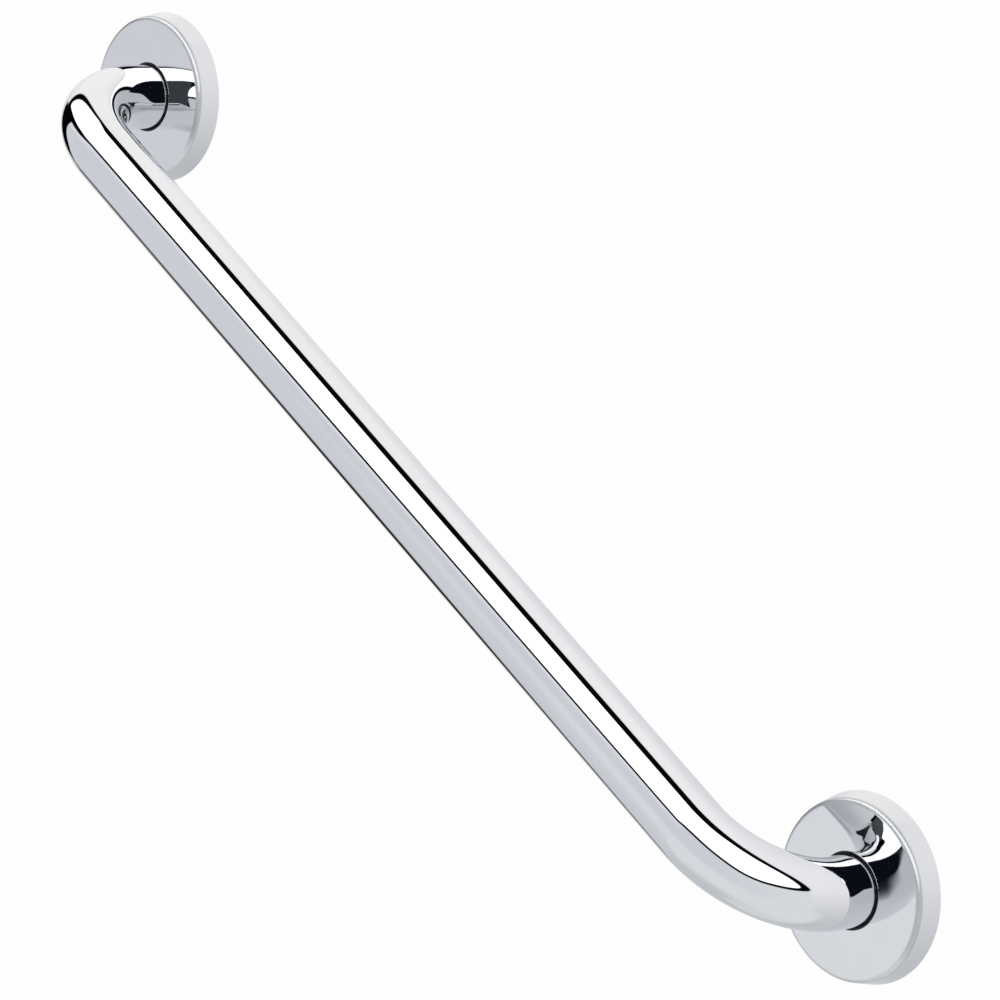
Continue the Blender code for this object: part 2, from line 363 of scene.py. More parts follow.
def bush_mesh(side):
    """The nylon ring: a thin lip inside the cover's hole and a flange behind its sheet."""
    node = f"{side}_cover_bush"
    bore = TUBE_RADIUS + BUSH_GAP
    lip_top = box_front(node)
    flange_bottom = box_back(node)
    flange_top = flange_bottom + BUSH_FLANGE_THICKNESS
    flange_radius = box_size(node).z / 2
    easing = (BUSH_LIP_RADIUS - bore) * EASING_SHARE

    def eased(radius, height, start, end):
        return arc((radius, height), easing, start, end, SMALL_EDGE_STEPS)

    profile = eased(bore + easing, lip_top - easing, 2 * QUARTER_TURN, QUARTER_TURN)
    profile += eased(BUSH_LIP_RADIUS - easing, lip_top - easing, QUARTER_TURN, 0)
    profile.append((BUSH_LIP_RADIUS, flange_top))
    profile += eased(flange_radius - easing, flange_top - easing, QUARTER_TURN, 0)
    profile += eased(flange_radius - easing, flange_bottom + easing, 0, -QUARTER_TURN)
    profile += eased(bore + easing, flange_bottom + easing, -QUARTER_TURN, -2 * QUARTER_TURN)
    return turned(f"{node}_moulded", guarded(profile), BUSH_SEGMENTS)


def circle(radius, centre=(0.0, 0.0), points=SMALL_SEGMENTS):
    return arc(centre, radius, 0, FULL_TURN, points)[:-1]


def screw_centres():
    return [
        (SCREW_CIRCLE_RADIUS * math.cos(angle), SCREW_CIRCLE_RADIUS * math.sin(angle))
        for angle in SCREW_ANGLES
    ]


def base_plate_mesh(side):
    """The blanked plate: a disc with three lugs and three holes, its edges broken."""
    node = f"{side}_base_plate"
    reach = -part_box(node)[0].z  # one lug points straight down
    outline = []
    sector = FULL_TURN / len(LUG_ANGLES)
    for angle in LUG_ANGLES:
        outline += arc((0, 0), reach, angle - LUG_HALF_ANGLE, angle + LUG_HALF_ANGLE, LUG_STEPS)
        disc_start = angle + LUG_FOOT_HALF_ANGLE
        disc_end = angle + sector - LUG_FOOT_HALF_ANGLE
        outline += arc((0, 0), PLATE_RADIUS, disc_start, disc_end, DISC_STEPS)
    holes = [circle(PLATE_HOLE_RADIUS, centre) for centre in screw_centres()]
    name = f"{node}_blanked"
    return flat_disc(name, [outline] + holes, box_back(node), box_front(node), PLATE_CHAMFER)


def gasket_mesh(side):
    """The sheet-rubber disc, pierced for the screws."""
    node = f"{side}_wall_gasket"
    outline = circle(box_size(node).z / 2, points=COVER_SEGMENTS)
    holes = [circle(GASKET_HOLE_RADIUS, centre) for centre in screw_centres()]
    name = f"{node}_cut"
    return flat_disc(name, [outline] + holes, box_back(node), box_front(node), GASKET_ROUNDING)


WELD_RIPPLES = 46
WELD_RIPPLE_DEPTH = 0.00022
WELD_LAG = 0.9  # how far a ripple's middle trails behind its ends, in ripples
WELD_CREST = 0.6  # below 1, the crests are broad and the valleys narrow
WELD_WANDER = 0.03


def weld_bead_mesh(side):
    """The weld around the leg's foot: a quarter round laid down in overlapping ripples."""
    node = f"{side}_weld_bead"
    root = (TUBE_RADIUS + BUSH_GAP, box_back(node))
    leg = box_size(node).z / 2 - root[0]

    def rippled(angle, radius, height):
        out = math.hypot(radius - root[0], height - root[1]) / leg
        lag = WELD_LAG * math.sin(math.pi * (height - root[1]) / leg)
        phase = (angle / FULL_TURN * WELD_RIPPLES + lag) % 1.0
        dip = WELD_RIPPLE_DEPTH * out * (1.0 - math.sin(math.pi * phase) ** WELD_CREST)
        unsteady = 0.5 + 0.5 * math.sin(angle * 5 + 1.3) * math.sin(angle * 11)
        scale = 1.0 - WELD_WANDER * out * unsteady - dip / leg
        return root[0] + (radius - root[0]) * scale, root[1] + (height - root[1]) * scale

    profile = arc(root, leg, QUARTER_TURN, 0, WELD_STEPS) + [root]
    return turned(f"{node}_rippled", profile, WELD_SEGMENTS, reach=rippled)


def washer_mesh(side, number):
    node = f"{side}_washer_{number}"
    outer = box_size(node).z / 2
    section = (WASHER_HOLE_RADIUS, outer, box_back(node), box_front(node))
    profile = rounded_box_profile(*section, WASHER_ROUNDING)
    return turned(f"{node}_stamped", profile, SMALL_SEGMENTS)


SHANK_RADIUS = 0.0024
THREAD_DEPTH = 0.00058
THREAD_PITCH = 0.0016
THREAD_RINGS_PER_TURN = 18
THREAD_SEGMENTS = 48
THREAD_SHARPNESS = 3.0
THREAD_HOLD = 1.6  # how long the crest keeps its depth along the tip
TIP_LENGTH = 0.0040
TIP_BLUNTNESS = 0.02
HEAD_HEIGHT = 0.0030
HEAD_EDGE = 0.00025
HEAD_RINGS = 14
HEAD_BULGE = 0.8
CROWN_SHARE = 0.62  # how much of the head's height its domed crown takes
CROWN_FALL = 0.9
CROWN_FLAT = 0.06
RECESS_SPAN = 0.0052
RECESS_SLOT = 0.0011
RECESS_DEPTH = 0.0016
RECESS_TAPER = (1.5, 0.5)  # the blade's width at its two ends, in its width at the head's top


def thread_rings(head_back, tip):
    """Rings down the shank whose radius swells where the thread's crest passes."""
    length = head_back - tip
    count = round(length / THREAD_PITCH * THREAD_RINGS_PER_TURN)
    rings = []
    for step in range(count):
        depth = length * step / count
        height = head_back - depth
        taper = min(1.0, (length - depth) / TIP_LENGTH)
        start = min(1.0, depth / THREAD_PITCH)
        ring = []
        for segment in range(THREAD_SEGMENTS):
            angle = FULL_TURN * segment / THREAD_SEGMENTS
            phase = (depth / THREAD_PITCH - segment / THREAD_SEGMENTS) % 1.0
            crest = (1.0 - abs(2.0 * phase - 1.0)) ** THREAD_SHARPNESS
            core = (SHANK_RADIUS - THREAD_DEPTH) * taper
            radius = core + THREAD_DEPTH * crest * start * min(1.0, taper * THREAD_HOLD)
            radius = min(radius, SHANK_RADIUS * min(1.0, taper + TIP_BLUNTNESS))
            ring.append(around_axis(radius, height, angle))
        rings.append(ring)
    return rings


def screw_mesh(side, number):
    """A pan-head tapping screw: domed head, cross recess, helical thread and a point."""
    node = f"{side}_screw_{number}"
    head_radius = box_size(node).z / 2
    head_top = box_front(node)
    head_back = head_top - HEAD_HEIGHT
    crown_radius = head_radius - HEAD_EDGE
    profile = [(crown_radius * CROWN_FLAT, head_top)]
    for step in range(1, HEAD_RINGS + 1):
        angle = QUARTER_TURN * step / HEAD_RINGS
        radius = crown_radius * math.sin(angle) ** HEAD_BULGE
        drop = HEAD_HEIGHT * CROWN_SHARE * (1 - math.cos(angle) ** CROWN_FALL)
        profile.append((radius, head_top - drop))
    profile[-1] = (head_radius, profile[-1][1])
    profile += arc((crown_radius, head_back + HEAD_EDGE), HEAD_EDGE, 0, -QUARTER_TURN, HEAD_EDGE_STEPS)
    profile.append((SHANK_RADIUS, head_back))
    angles = [FULL_TURN * segment / THREAD_SEGMENTS for segment in range(THREAD_SEGMENTS)]
    head = [[around_axis(radius, height, angle) for angle in angles] for radius, height in profile]
    mesh = loft(f"{node}_threaded", head + thread_rings(head_back, box_back(node)), closed=False)
    return cut_recess(mesh, head_top)


def cut_recess(mesh, head_top):
    """Cuts two crossed, tapered slots into the screw's head."""
    blank = bpy.data.objects.new(mesh.name, mesh)
    bpy.context.scene.collection.objects.link(blank)
    blades = []
    for turn in (0, QUARTER_TURN):
        shape = bmesh.new()
        outer_width, inner_width = (math.sqrt(0.5) * taper for taper in RECESS_TAPER)
        depth = 2 * RECESS_DEPTH
        bmesh.ops.create_cone(
            shape, cap_ends=True, segments=4, radius1=outer_width, radius2=inner_width, depth=depth
        )
        bmesh.ops.rotate(shape, verts=shape.verts, matrix=Matrix.Rotation(QUARTER_TURN / 2, 3, "Z"))
        bmesh.ops.scale(shape, verts=shape.verts, vec=(RECESS_SPAN, RECESS_SLOT, 1.0))
        bmesh.ops.rotate(shape, verts=shape.verts, matrix=Matrix.Rotation(turn, 3, "Z"))
        bmesh.ops.rotate(shape, verts=shape.verts, matrix=Matrix.Rotation(-QUARTER_TURN, 3, "X"))
        bmesh.ops.translate(shape, verts=shape.verts, vec=(0, -head_top, 0))
        blade_mesh = bpy.data.meshes.new("blade")
        shape.to_mesh(blade_mesh)
        shape.free()
        blade = bpy.data.objects.new("blade", blade_mesh)
        bpy.context.scene.collection.objects.link(blade)
        cut = blank.modifiers.new("recess", "BOOLEAN")
        cut.operation = "DIFFERENCE"
        cut.solver = "EXACT"
        cut.object = blade
        blades.append(blade)
    bpy.context.view_layer.update()
    graph = bpy.context.evaluated_depsgraph_get()
    result = bpy.data.meshes.new_from_object(blank.evaluated_get(graph))
    for obj in [blank] + blades:
        bpy.data.objects.remove(obj)
    shape = bmesh.new()
    shape.from_mesh(result)
    return finish_mesh(shape, mesh.name, merge=CUT_MERGE)


# ---------------------------------------------------------------- materials


class Nodes:
    """Adds nodes to one shader tree. Inputs take plain values or other nodes' sockets."""

    def __init__(self, tree):
        self.tree = tree
        tree.nodes.clear()

    def add(self, kind, inputs=(), **settings):
        node = self.tree.nodes.new(kind)
        for name, value in settings.items():
            setattr(node, name, value)
        for key, value in dict(inputs).items():
            self.feed(node.inputs[key], value)
        return node

    def feed(self, socket, value):
        if isinstance(value, bpy.types.NodeSocket):
            self.tree.links.new(value, socket)
        else:
            socket.default_value = value

    def math(self, operation, *values):
        node = self.add("ShaderNodeMath", operation=operation)
        for socket, value in zip(node.inputs, values):
            self.feed(socket, value)
        return node.outputs[0]

    def times(self, value, *others):
        for other in others:
            value = self.math("MULTIPLY", value, other)
        return value

    def plus(self, value, *others):
        for other in others:
            value = self.math("ADD", value, other)
        return value

    def minus(self, value, other):
        return self.math("SUBTRACT", value, other)

    def linear(self, value, low, high, low_value=0.0, high_value=1.0, shape="LINEAR"):
        """low_value below low, high_value above high, and a straight rise between."""
        keys = ("Value", "From Min", "From Max", "To Min", "To Max")
        node = self.add("ShaderNodeMapRange", interpolation_type=shape)
        for key, given in zip(keys, (value, low, high, low_value, high_value)):
            self.feed(node.inputs[key], given)
        return node.outputs[0]

    def smooth(self, value, low, high, low_value=0.0, high_value=1.0):
        """The same with a smooth step between."""
        return self.linear(value, low, high, low_value, high_value, shape="SMOOTHSTEP")

    def band(self, value, low, high, softness):
        """1 between low and high, with soft edges."""
        rise = self.smooth(value, self.shifted(low, -softness), self.shifted(low, softness))
        fall = self.smooth(value, self.shifted(high, -softness), self.shifted(high, softness), 1.0, 0.0)
        return self.times(rise, fall)

    def shifted(self, value, amount):
        if isinstance(value, bpy.types.NodeSocket):
            return self.plus(value, amount)
        return value + amount

    def mix(self, factor, first, second):
        """A colour between two colours."""
        node = self.add("ShaderNodeMix", data_type="RGBA")
        self.feed(node.inputs["Factor"], factor)
        self.feed(node.inputs["A"], first)
        self.feed(node.inputs["B"], second)
        return node.outputs["Result"]

    def noise(self, position, scale, detail=4.0, roughness=0.55):
        node = self.add(
            "ShaderNodeTexNoise",
            {"Vector": position, "Scale": scale, "Detail": detail, "Roughness": roughness},
        )
        return node.outputs["Fac"]

    def stretched(self, position, scale):
        node = self.add("ShaderNodeMapping", {"Vector": position, "Scale": scale})
        return node.outputs["Vector"]

    def bump(self, height, distance):
        node = self.add("ShaderNodeBump", {"Height": height, "Distance": distance})
        return node.outputs["Normal"]


def grey(value):
    return (value, value, value, 1.0)


def new_material(name):
    material = bpy.data.materials.new(name)
    material.use_nodes = True
    nodes = Nodes(material.node_tree)
    position = nodes.add("ShaderNodeTexCoord").outputs["Object"]
    return material, nodes, position


def finish_material(material, nodes, **inputs):
    keys = {
        "colour": "Base Color",
        "roughness": "Roughness",
        "metallic": "Metallic",
        "normal": "Normal",
        "anisotropy": "Anisotropic",
        "sheen": "Sheen Weight",
    }
    shader = nodes.add("ShaderNodeBsdfPrincipled", {keys[key]: value for key, value in inputs.items()})
    nodes.add("ShaderNodeOutputMaterial", {"Surface": shader.outputs["BSDF"]})
    return material


CHROME_LIGHT = (0.735, 0.745, 0.768, 1.0)
CHROME_DARK = (0.715, 0.726, 0.750, 1.0)
# The next colour is painted shade: a darker chrome that dims the highlight on the covers' shoulders and
# skirts.
CHROME_PAINTED_SHADE = (0.500, 0.510, 0.530, 1.0)
CLOUD_ROUGHNESS = (0.006, 0.016)
HAIRLINE_ROUGHNESS = 0.010
HAIRLINE_RELIEF = 0.012  # as a share of the ripple's
RIPPLE_HEIGHT = 0.000012
# Where the covers' polish is duller: rougher, and painted darker as shade over the highlight, most on the
# upper shoulder.
DULL_ROUGHNESS = 0.26
SKIRT_DULL_SHADE = 0.20
LOWER_SHOULDER_DULL_SHADE = 0.15
DULL_SHADE_START = (SHOULDER_START - 0.0001, SHOULDER_START + 0.0003)
DULL_SHADE_FRONT = (SHOULDER_FOOT - 0.0004, SHOULDER_FOOT + 0.0004)
DULL_SHADE_UPPER = (-0.012, 0.012)


def chrome(name, grain, dull_shade=None):
    """Mirror chrome: a trace of cloudiness, hairline wiping marks and the faint ripple of polished metal.

    The optional mask, a function of nodes and position, says where the polish is duller: rougher, and painted
    darker as shade that dims the highlight there."""
    material, nodes, position = new_material(name)
    cloud = nodes.noise(position, 18.0)
    wiping = nodes.noise(nodes.stretched(position, grain), 90.0, detail=6.0)
    ripple = nodes.noise(position, 55.0, detail=2.0)
    hairlines = nodes.linear(wiping, 0.45, 0.75, 0.0, HAIRLINE_ROUGHNESS)
    roughness = nodes.plus(nodes.linear(cloud, 0.35, 0.65, *CLOUD_ROUGHNESS), hairlines)
    relief = nodes.plus(ripple, nodes.times(wiping, HAIRLINE_RELIEF))
    colour = nodes.mix(nodes.smooth(cloud, 0.3, 0.7), CHROME_DARK, CHROME_LIGHT)
    if dull_shade:
        dull_shade_mask = dull_shade(nodes, position)
        roughness = nodes.math("MULTIPLY_ADD", dull_shade_mask, DULL_ROUGHNESS, roughness)
        # Painted shade: the duller places take a darker chrome, which dims the highlight there.
        colour = nodes.mix(dull_shade_mask, colour, CHROME_PAINTED_SHADE)
    return finish_material(
        material,
        nodes,
        colour=colour,
        metallic=1.0,
        roughness=roughness,
        normal=nodes.bump(relief, RIPPLE_HEIGHT),
    )


def axis_radius(nodes, position):
    """Distance from the leg's axis."""
    split = nodes.add("ShaderNodeSeparateXYZ", {"Vector": position}).outputs
    x2 = nodes.times(split["X"], split["X"])
    z2 = nodes.times(split["Z"], split["Z"])
    return nodes.math("SQRT", nodes.plus(x2, z2))


def cover_dull_shade(nodes, position):
    """Where the cover's polish is duller: rougher, and painted darker as shade that dims the highlight. Most
    on the upper shoulder, less lower down and on the skirt.
    """
    outward = nodes.smooth(axis_radius(nodes, position), *DULL_SHADE_START)
    split = nodes.add("ShaderNodeSeparateXYZ", {"Vector": position}).outputs
    height = nodes.times(split["Y"], -1.0)
    forward = nodes.smooth(height, *DULL_SHADE_FRONT)
    upper = nodes.smooth(split["Z"], *DULL_SHADE_UPPER, LOWER_SHOULDER_DULL_SHADE, 1.0)
    return nodes.times(outward, nodes.math("MULTIPLY_ADD", forward, upper, SKIRT_DULL_SHADE))


PLATE_DARK = (0.44, 0.44, 0.43, 1.0)
PLATE_LIGHT = (0.66, 0.66, 0.64, 1.0)
STRAW_TINT = (0.62, 0.47, 0.24, 1.0)
STRAW_RADII = (0.0235, 0.0262)
BLUE_TINT = (0.22, 0.26, 0.42, 1.0)
BLUE_RADII = (0.0195, 0.0232)
WELD_SOOT = (0.26, 0.24, 0.23, 1.0)
WELD_BARE = (0.60, 0.57, 0.52, 1.0)
SCREW_SHADE = 0.70
WASHER_SHADE = 0.62
DULL_SHARE = 0.72  # how bright a fastener's dull patches are beside the rest
NYLON_DARK = (0.008, 0.008, 0.009, 1.0)
NYLON_LIGHT = (0.016, 0.016, 0.018, 1.0)
RUBBER_DARK = (0.016, 0.016, 0.016, 1.0)
RUBBER_BLOOM = (0.040, 0.040, 0.039, 1.0)


def rings_texture(nodes, position, scale):
    """Fine concentric grain, as a lathe leaves it."""
    radius = axis_radius(nodes, position)
    wobble = nodes.times(nodes.noise(position, 60.0), 0.0008)
    place = nodes.add("ShaderNodeCombineXYZ", {"X": nodes.plus(radius, wobble)}).outputs[0]
    return nodes.noise(place, scale, detail=8.0, roughness=0.7)


def plate_steel():
    """Turned stainless plate, with straw and blue heat tint near the weld."""
    material, nodes, position = new_material("plate_steel_turned")
    grain = rings_texture(nodes, position, 2600.0)
    radius = axis_radius(nodes, position)
    uneven = nodes.times(nodes.noise(position, 120.0), 0.004)
    distance = nodes.plus(radius, uneven)
    steel = nodes.mix(grain, PLATE_DARK, PLATE_LIGHT)
    straw = nodes.mix(nodes.band(distance, *STRAW_RADII, 0.0012), steel, STRAW_TINT)
    tinted = nodes.mix(nodes.band(distance, *BLUE_RADII, 0.0010), straw, BLUE_TINT)
    return finish_material(
        material,
        nodes,
        colour=tinted,
        metallic=1.0,
        roughness=nodes.linear(grain, 0.3, 0.7, 0.26, 0.46),
        anisotropy=0.5,
        normal=nodes.bump(grain, 0.00003),
    )


def weld_metal():
    """Cleaned weld: dull grey with darker patches of soot."""
    material, nodes, position = new_material("weld_metal_cleaned")
    patches = nodes.noise(position, 260.0, detail=6.0)
    pits = nodes.noise(position, 2200.0, detail=5.0)
    return finish_material(
        material,
        nodes,
        colour=nodes.mix(nodes.smooth(patches, 0.35, 0.65), WELD_SOOT, WELD_BARE),
        metallic=1.0,
        roughness=nodes.linear(patches, 0.3, 0.7, 0.30, 0.55),
        normal=nodes.bump(pits, 0.00005),
    )


def fastener_steel(name, shade, scale):
    """Rolled or stamped stainless: fine pits and a slightly uneven sheen."""
    material, nodes, position = new_material(name)
    patches = nodes.noise(position, 420.0, detail=5.0)
    pits = nodes.noise(position, scale, detail=6.0)
    dull = grey(shade * DULL_SHARE)
    return finish_material(
        material,
        nodes,
        colour=nodes.mix(nodes.smooth(patches, 0.32, 0.68), dull, grey(shade)),
        metallic=1.0,
        roughness=nodes.linear(patches, 0.3, 0.7, 0.20, 0.38),
        normal=nodes.bump(pits, 0.00002),
    )


def black_nylon():
    """Moulded nylon: near black, with the fine matt of a tool's surface."""
    material, nodes, position = new_material("bush_nylon_moulded")
    matt = nodes.noise(position, 3500.0, detail=4.0)
    flow = nodes.noise(position, 140.0, detail=3.0)
    return finish_material(
        material,
        nodes,
        colour=nodes.mix(flow, NYLON_DARK, NYLON_LIGHT),
        roughness=nodes.linear(flow, 0.3, 0.7, 0.48, 0.62),
        normal=nodes.bump(matt, 0.00002),
    )


def sheet_rubber():
    """Rubber sheet: matt black with a faint bloom and a fine grain."""
    material, nodes, position = new_material("gasket_rubber_sheet")
    bloom = nodes.noise(position, 70.0, detail=5.0)
    grain = nodes.noise(position, 2400.0, detail=5.0)
    return finish_material(
        material,
        nodes,
        colour=nodes.mix(nodes.smooth(bloom, 0.35, 0.75), RUBBER_DARK, RUBBER_BLOOM),
        roughness=nodes.linear(bloom, 0.3, 0.7, 0.72, 0.90),
        sheen=0.15,
        normal=nodes.bump(grain, 0.00006),
    )


# ---------------------------------------------------------------- assembly


def show(mesh, material, node, location=(0.0, 0.0, 0.0)):
    """Puts the fine mesh in place of a CAD node, on that node's body."""
    obj = bpy.data.objects.new(mesh.name, mesh)
    obj.location = location
    mesh.materials.append(material)
    bpy.context.scene.collection.objects.link(obj)
    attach(obj, frame["nodes"][node]["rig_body"])
    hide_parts(node)
    return obj


def make_rail():
    tube_chrome = chrome("tube_chrome", grain=(0.15, 1.0, 1.0))
    # The covers' polish is rougher and painted darker on the upper shoulder, as shade that dims the
    # highlight.
    cover_chrome = chrome("cover_chrome", grain=(1.0, 0.4, 1.0), dull_shade=cover_dull_shade)
    plate = plate_steel()
    weld = weld_metal()
    screw_steel = fastener_steel("screw_stainless", SCREW_SHADE, 1500.0)
    washer_steel = fastener_steel("washer_stainless", WASHER_SHADE, 2200.0)
    nylon = black_nylon()
    rubber = sheet_rubber()
    show(rail_tube_mesh(), tube_chrome, "rail_tube")
    for side in SIDES:
        foot = (LEG_X[side], 0.0, 0.0)
        show(cover_mesh(side), cover_chrome, f"{side}_cover_flange", foot)
        show(bush_mesh(side), nylon, f"{side}_cover_bush", foot)
        show(base_plate_mesh(side), plate, f"{side}_base_plate", foot)
        show(weld_bead_mesh(side), weld, f"{side}_weld_bead", foot)
        show(gasket_mesh(side), rubber, f"{side}_wall_gasket", foot)
        for number, (x, z) in enumerate(screw_centres(), start=1):
            place = (LEG_X[side] + x, 0.0, z)
            show(washer_mesh(side, number), washer_steel, f"{side}_washer_{number}", place)
            show(screw_mesh(side, number), screw_steel, f"{side}_screw_{number}", place)


# ---------------------------------------------------------------- studio

# Directions are in degrees, as seen from the rail. Azimuth 0 points straight out from the wall and grows to
# the right. "behind" is how far a direction leans back to the wall, and "twice" marks rays that met two
# mirrors. A pair gives the two ends of a range.

BACKDROP_WHITE = 0.99
SOFTBOX_WHITE = 2.0
FLAG_BLACK = (0.002, 0.002, 0.003, 1.0)
ROOM_FRONT = (0.800, 0.815, 0.845, 1.0)
ROOM_RIGHT = (0.905, 0.925, 0.945, 1.0)
ROOM_DEEP = (0.690, 0.705, 0.725, 1.0)
ROOM_EDGE = (0.970, 0.985, 1.010, 1.0)
ROOM_BACK_LOW = (0.665, 0.680, 0.700, 1.0)
ROOM_BACK_HIGH = (1.085, 1.075, 1.080, 1.0)
ROOM_BACK_LEFT = (1.140, 1.125, 1.105, 1.0)
LEFT_SHADE_LOW = (0.020, 0.021, 0.024, 1.0)
LEFT_SHADE_HIGH = (0.100, 0.106, 0.112, 1.0)
LEFT_FLOOR = (0.560, 0.575, 0.600, 1.0)

# The softbox's lower edge, as azimuth and elevation.
SOFTBOX_LOWER_EDGE = (
    (-180, -55), (-97, -14), (-60, 2), (-35, 15), (-18, 27),
    (10, 29), (40, 27), (70, 36), (98, 44), (180, 66),
)
SOFTBOX_FAR_EDGE = 6.0
SOFTBOX_ROUNDING = 9.0
RAISED_AZIMUTH = (-80, -55)
RAISED_BY = 20.0
TOP_LEFT_ELEVATION = (42, 56)
TOP_LEFT_SIDE = (-0.30, 0.45)
TOP_LEFT_CUT = 7.3
EDGE_SOFTNESS = 0.8
BORDER_HALF_WIDTH = 3.1
TOP_LEFT_WIDENING = 4.0
CORNER_AZIMUTH = (-88, -50)
CORNER_SOFTNESS = 9.0
CORNER_WIDENING = 1.6
LEG_AZIMUTH = (-58, -51)
LEG_SOFTNESS = 3.0
LEG_WIDENING = 4.5


def edge_height(nodes, azimuth, points):
    """The elevation of an edge at each azimuth, as a smooth curve through the points."""
    curve = nodes.add("ShaderNodeFloatCurve")
    line = curve.mapping.curves[0]
    places = [(around / 360 + 0.5, up / 180 + 0.5) for around, up in points]
    while len(line.points) < len(places):
        line.points.new(0.5, 0.5)
    for point, place in zip(line.points, places):
        point.location = place
    curve.mapping.update()
    nodes.feed(curve.inputs["Value"], nodes.linear(azimuth, -180, 180))
    return nodes.linear(curve.outputs[0], 0, 1, -90, 90)


def softbox_masks(nodes, azimuth, elevation, behind, rightward, twice):
    """Where the softbox shines, where it or its black border lies, and the height above its lower edge.

    After two mirrors the lower edge stands higher on the left, and the border is wider where the leg shows
    it."""
    lower_edge = edge_height(nodes, azimuth, SOFTBOX_LOWER_EDGE)
    raised = nodes.times(twice, nodes.smooth(azimuth, *RAISED_AZIMUTH, RAISED_BY, 0.0))
    above = nodes.minus(elevation, nodes.plus(lower_edge, raised))
    at_left = nodes.smooth(rightward, *TOP_LEFT_SIDE, 1.0, 0.0)
    top_left = nodes.times(nodes.smooth(elevation, *TOP_LEFT_ELEVATION), at_left)
    far_edge = nodes.math("MULTIPLY_ADD", top_left, -TOP_LEFT_CUT, SOFTBOX_FAR_EDGE)
    depth = nodes.math("SMOOTH_MIN", above, nodes.minus(far_edge, behind), SOFTBOX_ROUNDING)
    at_corner = nodes.times(nodes.band(azimuth, *CORNER_AZIMUTH, CORNER_SOFTNESS), CORNER_WIDENING)
    at_leg = nodes.times(twice, nodes.band(azimuth, *LEG_AZIMUTH, LEG_SOFTNESS), LEG_WIDENING)
    plain_width = nodes.math("MULTIPLY_ADD", top_left, TOP_LEFT_WIDENING, BORDER_HALF_WIDTH)
    half_width = nodes.plus(plain_width, at_corner, at_leg)
    softbox = nodes.smooth(nodes.minus(depth, half_width), -EDGE_SOFTNESS, EDGE_SOFTNESS)
    border = nodes.smooth(nodes.plus(depth, half_width), -EDGE_SOFTNESS, EDGE_SOFTNESS)
    return softbox, border, above


GAP_ELEVATION = (-34, -4)
GAP_CENTRES = (-98.0, -86.0)
GAP_NARROWING = (-50, -36)
GAP_HALF_WIDTHS = (2.5, 13.5)
GAP_SOFTNESS = 1.2
GAP_BOTTOM = (-54, -48)
GAP_TOP = (-2, 1)
GAP_FOOT_LEFT = (-133, -122)
GAP_FOOT_RIGHT = (-108, -84)
GAP_FOOT_ELEVATION = (-59, -48)
GAP_FOOT_SOFTNESS = 2.0


def gap_mask(nodes, azimuth, elevation, above):
    """The dark gap below the softbox's left corner, and its dark foot."""
    centre = nodes.smooth(elevation, *GAP_ELEVATION, *GAP_CENTRES)
    half = nodes.smooth(elevation, *GAP_NARROWING, *GAP_HALF_WIDTHS)
    outside = nodes.minus(nodes.math("ABSOLUTE", nodes.minus(azimuth, centre)), half)
    sides = nodes.smooth(outside, -GAP_SOFTNESS, GAP_SOFTNESS, 1.0, 0.0)
    length = nodes.times(nodes.smooth(elevation, *GAP_BOTTOM), nodes.smooth(above, *GAP_TOP, 1.0, 0.0))
    foot_left = nodes.smooth(azimuth, *GAP_FOOT_LEFT)
    foot_right = nodes.smooth(azimuth, *GAP_FOOT_RIGHT, 1.0, 0.0)
    foot_height = nodes.band(elevation, *GAP_FOOT_ELEVATION, GAP_FOOT_SOFTNESS)
    return nodes.math("MAXIMUM", nodes.times(sides, length), nodes.times(foot_left, foot_right, foot_height))


LOW_GLOW_AZIMUTH = (-41, -29)
LOW_GLOW_ELEVATION = (-24, -6)
EDGE_GLOW_ABOVE = (-15, -4)
EDGE_GLOW_AZIMUTH = (-30, -16)
RIGHT_AZIMUTH = (0, 90)
DEEP_ELEVATION = (-78, -46)
DEEP_AZIMUTH = (20, 80)
DEEP_RIGHT_SHARE = 0.35
BACK_ELEVATION = (-70, 75)
LEFT_GLOW_AZIMUTH = (-142, -90)
LEFT_GLOW_SOFTNESS = 10.0
LEFT_GLOW_ELEVATION = (-36, 10)
LEFT_GLOW_LOSS = 0.6  # after two mirrors
BACK_START = (2, 12)
LOW_RIGHT_AZIMUTH = (70, 95)
LOW_RIGHT_ELEVATION = (-25, -8)
LOW_RIGHT_SHIFT = 9.0


